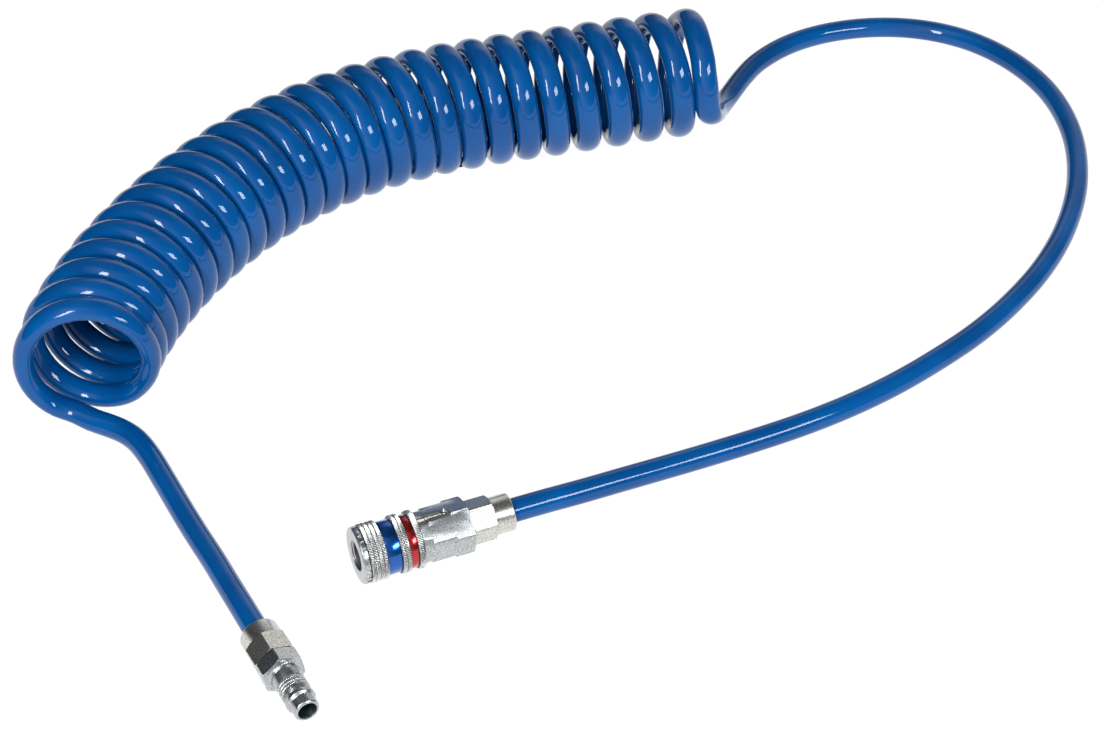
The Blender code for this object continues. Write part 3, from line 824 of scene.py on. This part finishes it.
# %% Body
BODY_FLATS, BODY_TURN = 24.0, 11.0       # mm, and degrees round the axis
body_corner = BODY_FLATS / sqrt(3)
body_outline = [
    (20, 10.4), (20, 11.3), (30.6, 11.3), (30.6, 12.4), (34.9, 12.4), (34.9, 13.1), (46.4, 13.1),
    (46.4, body_corner - 0.4), (46.9, body_corner), (55.1, body_corner), (55.7, body_corner - 0.9),
    (55.7, 6.9), (47.5, 6.9), (47.5, 10.4),
]


def vent_window():
    """The milling cutter's way down: wide beside the sleeve, then narrow, with a round end."""
    start, step, round_centre = 29.5, 35.3, 43.9
    wide, narrow = -4.2, 2.1
    bottom, top = 8.0, 18.0
    arc_steps = 16
    outline = [(start, narrow), (start, wide), (step, wide), (step, -narrow)]
    for i in range(arc_steps + 1):
        angle = radians(-90 + 180 * i / arc_steps)
        outline.append((round_centre + narrow * cos(angle), narrow * sin(angle)))
    return prism("vent_window", outline, bottom, top, upright=True)


BAR_START, BAR_END = 10, 70      # the bar reaches past both ends of the body
body_mesh = carve(turned_mesh("hexagon_body", body_outline, FINER_BREAK), [
    ("INTERSECT", prism("body_bar", hexagon(BODY_FLATS, BODY_TURN), BAR_START, BAR_END)),
    ("DIFFERENCE", vent_window()),
])
add_piece("hexagon_body", body_mesh, COUPLER_PLACE, "hose_and_fittings", ["coupler_body"],
          nickel)
print("body:", BODY_FLATS, "mm across the flats")

# %% [markdown]
# ## The hose nuts
# Both ends of the hose have the same kind of nut: a 19 mm hexagon and a round collar that supports the hose
# where it leaves. The nut could be made once and copied, but the lead's shows a little less of its length,
# so a function makes each one, along +X from its threaded end, turned the way it lies. Their plate is
# warmer than the body's.

# %% Hose nuts
NUT_FLATS = 19.0
TAIL_NUT_AT, LEAD_NUT_AT = 56.2, 20.6    # where each one's threaded end is, along its fitting
TAIL_NUT = (12.0, 21.6, BODY_TURN)       # (length of the hexagon, whole length, turn in degrees)
LEAD_NUT = (11.6, 20.6, -14.0)
BAR_SPARE = 5                    # mm that the bar reaches past each end of the nut


def nut_mesh(name, hexagon_length, length, turn):
    """A turned blank with a hexagon, a collar and a bore that steps down to the hose."""
    corner = NUT_FLATS / sqrt(3)
    outline = [
        (0, corner - 0.8), (0.5, corner), (hexagon_length - 0.7, corner), (hexagon_length, corner - 1.3),
        (hexagon_length, 9.3), (length - 0.5, 9.3), (length, 8.8), (length, 6.7), (length - 0.4, 6.35),
        (hexagon_length + 0.3, 6.35), (hexagon_length - 2.2, 8.25), (0, 8.25),
    ]
    bar = prism("nut_bar", hexagon(NUT_FLATS, turn), -BAR_SPARE, length + BAR_SPARE)
    return carve(turned_mesh(name, outline, FINE_BREAK), [("INTERSECT", bar)])


DARK_NUT, BRIGHT_NUT = (0.30, 0.30, 0.28), (0.66, 0.65, 0.61)
nut_nickel = plated_steel("nut_nickel", DARK_NUT, BRIGHT_NUT, PLATE_ROUGHNESS, PLATE_BUMP)
half_turn = Matrix.Rotation(pi, 4, "Z")
add_piece("tail_nut", nut_mesh("tail_nut", *TAIL_NUT),
          COUPLER_PLACE @ Matrix.Translation(Vector((TAIL_NUT_AT, 0, 0)) * MM),
          "hose_and_fittings", ["coupler_nut"], nut_nickel)
add_piece("lead_nut", nut_mesh("lead_nut", *LEAD_NUT),
          NIPPLE_PLACE @ Matrix.Translation(Vector((LEAD_NUT_AT, 0, 0)) * MM) @ half_turn,
          "hose_and_fittings", ["nipple_nut"], nut_nickel)
print("nuts:", NUT_FLATS, "mm across the flats")

# %% [markdown]
# ## The plug nipple
# The plug has a hexagon, a smooth shank, a fine knurled ring for the fingers, the groove that the locking
# balls drop into, a collar and the nose that seals. It is one turned piece, cut to its hexagon like the
# nuts.

# %% Plug nipple
NIPPLE_TURN = 9.0                # degrees
NIPPLE_BAR_END = 60
GRIP_START, GRIP_END = 35.8, 41.2
nipple_corner = NUT_FLATS / sqrt(3)
nipple_outline = [
    (5.5, 2.9), (5.5, 3.6), (8.5, 4.5), (9.3, 4.5), (9.9, 3.9), (13.0, 3.9), (13.0, 7.4), (13.5, 7.9),
    (20.6, 7.9), (20.9, 7.6), (20.9, 9.6), (21.5, nipple_corner), (27.9, nipple_corner),
    (28.5, nipple_corner - 1.0), (28.5, 8.0), (28.9, 7.3), (29.6, 6.9), (GRIP_START, 6.9),
    (GRIP_START, 6.5), (GRIP_END, 6.5), (GRIP_END, 6.9), (42.0, 6.9), (42.0, 5.3), (44.1, 5.3),
    (44.9, 7.1), (46.9, 7.1), (47.9, 6.0), (52.7, 6.0), (53.4, 5.4), (53.4, 4.6), (30.0, 4.6), (28.0, 2.9),
]
nipple_mesh = carve(turned_mesh("plug_nipple", nipple_outline, FINE_BREAK), [
    ("INTERSECT", prism("nipple_bar", hexagon(NUT_FLATS, NIPPLE_TURN), 0, NIPPLE_BAR_END)),
])
add_piece("plug_nipple", nipple_mesh, NIPPLE_PLACE, "hose_and_fittings", ["nipple_body"],
          nickel)
print("plug:", len(nipple_mesh.polygons), "faces")

# %% [markdown]
# ## The plug's bore and grip
# The plug's bore is much darker than its outside: its dark finish is painted shade, standing for the shade
# deep inside it. A second material on the plug's own inside faces would do, but picking those faces after a
# Boolean is fragile, so a thin liner has the dark finish. The knurled grip is a separate short band of mesh
# over the shank too, because only that ring needs hundreds of points round it.

# %% Plug bore
# Painted shade: the liner's dark metal stands for the shade inside the bore.
BORE_TEAL, BORE_ROUGHNESS = (0.12, 0.18, 0.19), 0.35
BORE_BREAK = 0.05
BORE_OUTLINE = [(30.6, 4.55), (52.9, 4.55), (52.9, 4.35), (31.0, 4.35), (31.0, 0.6), (30.6, 0.6)]
bore_finish, bore_shader = new_material("painted_shade_bore", BORE_TEAL, 1.0, BORE_ROUGHNESS)
bump(bore_finish, bore_shader, grain(bore_finish, 0.4, 2.0), 0.01)
bore_mesh = turned_mesh("plug_bore", BORE_OUTLINE, BORE_BREAK)
add_piece("plug_bore", bore_mesh, NIPPLE_PLACE, "hose_and_fittings", ["nipple_body"],
          bore_finish)
print("bore faces:", len(bore_mesh.polygons))

# %% Plug grip
GRIP_RADIUS, GRIP_TEETH, GRIP_RINGS = 7.05, 48, 3
GRIP_TOOTH_DEPTH, GRIP_INSIDE = 0.3, 6.0
# The grip's painted shade fades out between GRIP_VALLEY and GRIP_CREST.
GRIP_VALLEY, GRIP_CREST = 6.5, 6.85
grip_width = (GRIP_END - GRIP_START) / GRIP_RINGS
grip_rows = []
for i in range(GRIP_RINGS):
    start = GRIP_START + i * grip_width
    grip_rows += knurled_ring(start, start + grip_width, GRIP_RADIUS, GRIP_TOOTH_DEPTH)
grip_rows += smooth_rows([(GRIP_END, GRIP_INSIDE), (GRIP_START, GRIP_INSIDE)])
grip_mesh = knurled_mesh("knurled_grip", grip_rows, GRIP_TEETH, GRIP_RADIUS)
add_piece("knurled_grip", grip_mesh, NIPPLE_PLACE, "hose_and_fittings", ["nipple_body"],
          knurl_finish("grip_nickel", GRIP_VALLEY, GRIP_CREST))
print("grip faces:", len(grip_mesh.polygons))

# %% [markdown]
# ## Inside the coupler
# Looking into the mouth or the window, the socket tube, six balls, the seal and the valve show. The CAD
# pieces have the right shape there and hardly show, so they stay, and only get their finishes. Finer copies
# would cost time and show nothing more. A turned surface has fine grooves round the axis: grain that is
# drawn out round X.

# %% Inner finishes
def turned_steel():
    """Bare steel with the lathe tool's fine lines."""
    made, shader = new_material("turned_steel", (0.62, 0.60, 0.57), 1.0, 0.3)
    lines = grain(made, 0.3, 2.0, stretch=(1.0, 0.05, 0.05))
    groove, ridge = (0.46, 0.44, 0.42), (0.68, 0.66, 0.63)
    join(made, ramp(made, lines, [(0.3, groove), (0.7, ridge)]), shader.inputs["Base Color"])
    bump(made, shader, lines, 0.012)
    return made


def plain_steel(name, colour, roughness):
    """Smooth steel whose roughness wanders a little."""
    made, shader = new_material(name, colour, 1.0, roughness)
    patches = span(made, grain(made, 0.8, 1.0), roughness * 0.7, roughness * 1.3)
    join(made, patches, shader.inputs["Roughness"])
    return made


def nitrile():
    """The black rubber of air seals, with a faintly dull skin."""
    made, shader = new_material("nitrile", (0.018, 0.018, 0.02), 0.0, 0.5)
    bump(made, shader, grain(made, 0.3, 2.0), 0.01)
    return made


FINISHES = {
    turned_steel(): ["socket_tube", "valve_poppet", "valve_housing", "hose_adapter"],
    plain_steel("spring_wire", (0.55, 0.56, 0.58), 0.28): ["sleeve_spring", "valve_spring"],
    plain_steel("ball_steel", (0.80, 0.80, 0.82), 0.08): [f"locking_ball_{i}" for i in range(1, 7)],
    nitrile(): ["plug_seal", "valve_seal", "sealing_washer"],
}
for finish, names in FINISHES.items():
    for name in names:
        frame["nodes"][name].data.materials.clear()
        frame["nodes"][name].data.materials.append(finish)
print("inner pieces finished:", sum(len(names) for names in FINISHES.values()))

# %% [markdown]
# ## The floor
# The hose is shown on a white table in a bright studio, with almost no shadow. A white board under strong
# lamps would still show soft shadows. So this floor gives off its own even light, like a light table: it
# stays white under the hose too, and it lights the hose from below.

# %% Floor
FLOOR_REACH = 6.0                # m from the middle to each side
FLOOR_HEIGHT = -0.0003           # m, just under the hose
FLOOR_GLOW = 0.95


def grey(value):
    """A colour with no hue."""
    return (value, value, value)


def white_floor():
    """A faintly mottled grey board that glows white."""
    made, shader = new_material("white_floor", grey(0.15), 0.0, 0.8)
    mottle = grain(made, 60.0, 2.0)
    join(made, ramp(made, mottle, [(0.3, grey(0.14)), (0.7, grey(0.16))]), shader.inputs["Base Color"])
    shader.inputs["Emission Color"].default_value = (1, 1, 1, 1)
    shader.inputs["Emission Strength"].default_value = FLOOR_GLOW
    shader.inputs["Specular IOR Level"].default_value = 0
    return made


floor_shape = bmesh.new()
bmesh.ops.create_grid(floor_shape, x_segments=1, y_segments=1, size=FLOOR_REACH)
floor_mesh = edged_mesh("floor", floor_shape)
floor_mesh.materials.append(white_floor())
floor = bpy.data.objects.new("floor", floor_mesh)
floor.location.z = FLOOR_HEIGHT
bpy.context.scene.collection.objects.link(floor)
floor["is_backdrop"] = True
print("floor:", 2 * FLOOR_REACH, "m across")

# %% [markdown]
# ## The shade under the coil
# The floor's own light would also shine up between the coil's close turns, where a real floor lies in
# shade. A dimmer floor would lose its white everywhere, so a narrow ribbon of plain dark floor lies under
# the close turns only. It stays inside the coil's footprint, where the turns hide it.

# %% Shade under the coil
SHADE_FRONT, SHADE_BACK = -8.0, 9.0      # mm from the coil's axis to the ribbon's two sides
SHADE_REACH = (150, 425)         # mm along the coil's axis, from its tail end
SHADE_STEP = 5.0
SHADE_HEIGHT = -0.0001           # m, between the floor and the hose


def shade_mesh():
    """A flat ribbon that follows the coil's axis on the floor."""
    axis = even_points(smooth_route([(x, y, 0) for x, y in COIL_AXIS]), SHADE_STEP)
    reached = distances(axis)
    shape = bmesh.new()
    rows = []
    for i in range(1, len(axis) - 1):
        if SHADE_REACH[0] <= reached[i] <= SHADE_REACH[1]:
            forward = (axis[i + 1] - axis[i - 1]).normalized()
            away = Vector((forward.y, -forward.x, 0))
            rows.append([shape.verts.new((axis[i] + away * side) * MM) for side in (SHADE_FRONT, SHADE_BACK)])
    for a, b in zip(rows, rows[1:]):
        shape.faces.new((a[0], a[1], b[1], b[0]))
    return edged_mesh("shade_under_coil", shape)


shade = bpy.data.objects.new("shade_under_coil", shade_mesh())
shade_finish, shade_shader = new_material("shaded_floor", grey(0.05), 0.0, 0.9)
shade_shader.inputs["Specular IOR Level"].default_value = 0
shade.data.materials.append(shade_finish)
shade.location.z = SHADE_HEIGHT
bpy.context.scene.collection.objects.link(shade)
shade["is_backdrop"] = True
print("shade:", len(shade.data.polygons), "faces")

# %% [markdown]
# ## The sky
# Metal only shows what is around it, so the sky does the work of a studio's walls: bright in front and on
# the right, grey behind, dark on the left and dark overhead. Each flat of a hexagon then gets its own tone.
# A picture of a real studio would do the same, but it would be a file, and a few shades blended by
# direction are enough. The dark ceiling also keeps the tops of the hose a deep blue.

# %% Sky
SKY_BRIGHT_TOWARDS = Vector((0.75, -0.55, 0.35))
SKY_DARK_TOWARDS = Vector((0.15, 0.35, 0.92))
SKY_STRENGTH, CEILING_STRENGTH = 1.3, 0.2
CEILING_FROM, CEILING_FULL = 0.78, 0.90  # how nearly overhead the ceiling begins, and is at its darkest
SKY_SHADES = [                   # (share of the way round to the bright side, colour)
    (0.12, (0.02, 0.022, 0.024)), (0.36, (0.10, 0.12, 0.14)), (0.55, (1.0, 1.0, 0.95)),
    (0.70, (0.5, 0.52, 0.54)), (0.90, (0.08, 0.09, 0.10)),
]


def facing(tree, direction):
    """How far a place in the sky lies towards a direction, from -1 to 1."""
    made = tree.nodes.new("ShaderNodeVectorMath")
    made.operation = "DOT_PRODUCT"
    made.inputs[1].default_value = direction
    tree.links.new(tree.nodes["sky place"].outputs["Generated"], made.inputs[0])
    return made.outputs["Value"]


def sky_range(tree, value, low, high, low_result=0.0, high_result=1.0):
    """A value's place between low and high, as a value between the two results."""
    made = tree.nodes.new("ShaderNodeMapRange")
    settings = {"From Min": low, "From Max": high, "To Min": low_result, "To Max": high_result}
    for name, setting in settings.items():
        made.inputs[name].default_value = setting
    tree.links.new(value, made.inputs["Value"])
    return made.outputs["Result"]


def studio_sky():
    """Dark on the left, a grey wall behind, bright in front and on the right, and a dark ceiling."""
    sky = bpy.data.worlds.new("studio")
    sky.use_nodes = True
    tree = sky.node_tree
    tree.nodes.new("ShaderNodeTexCoord").name = "sky place"
    background = tree.nodes["Background"]
    side = sky_range(tree, facing(tree, SKY_BRIGHT_TOWARDS), -1, 1)
    overhead = facing(tree, SKY_DARK_TOWARDS)
    strength = sky_range(tree, overhead, CEILING_FROM, CEILING_FULL, SKY_STRENGTH, CEILING_STRENGTH)
    tree.links.new(ramp(sky, side, SKY_SHADES), background.inputs["Color"])
    tree.links.new(strength, background.inputs["Strength"])
    bpy.context.scene.world = sky


studio_sky()
print("sky shades:", len(SKY_SHADES))

# %% [markdown]
# ## The lamps
# Two soft boxes make the glints on the hose. The reflection of a lamp has the lamp's own shape, so a long
# narrow one draws streaks along the turns, and a smaller one adds short glints. Point lamps would give dots
# instead.

# %% Lamps
MIDDLE = (0.15, 0.2, 0.0)        # m, what both lamps look at


def soft_box(name, place_of, aim, width, height, power):
    """A lit rectangle, its place and size in metres and its power in watts, turned to look at its aim."""
    lamp = bpy.data.objects.new(name, bpy.data.lights.new(name, "AREA"))
    lamp.data.shape = "RECTANGLE"
    lamp.data.size = width
    lamp.data.size_y = height
    lamp.data.energy = power
    lamp.location = place_of
    lamp.rotation_mode = "QUATERNION"
    lamp.rotation_quaternion = (Vector(aim) - Vector(place_of)).to_track_quat("-Z", "Y")
    bpy.context.scene.collection.objects.link(lamp)


soft_box("long_box", (-0.95, -0.7, 1.05), MIDDLE, width=0.25, height=0.95, power=19)
soft_box("square_box", (0.8, -1.2, 1.05), MIDDLE, width=0.8, height=0.4, power=19)
bpy.context.scene.view_settings.view_transform = "Standard"
print("soft boxes:", len(bpy.data.lights))

# %% [markdown]
# ## Check the size
# The visible model has to stay the size of the CAD model, so the corners of both boxes are compared and the
# difference is printed.

# %% Compare the sizes
scene_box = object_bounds()
moved = [[round((b[i] - a[i]) / MM, 1) for i in range(3)] for a, b in zip(cad_box, scene_box)]
print("corners moved by mm:", moved)
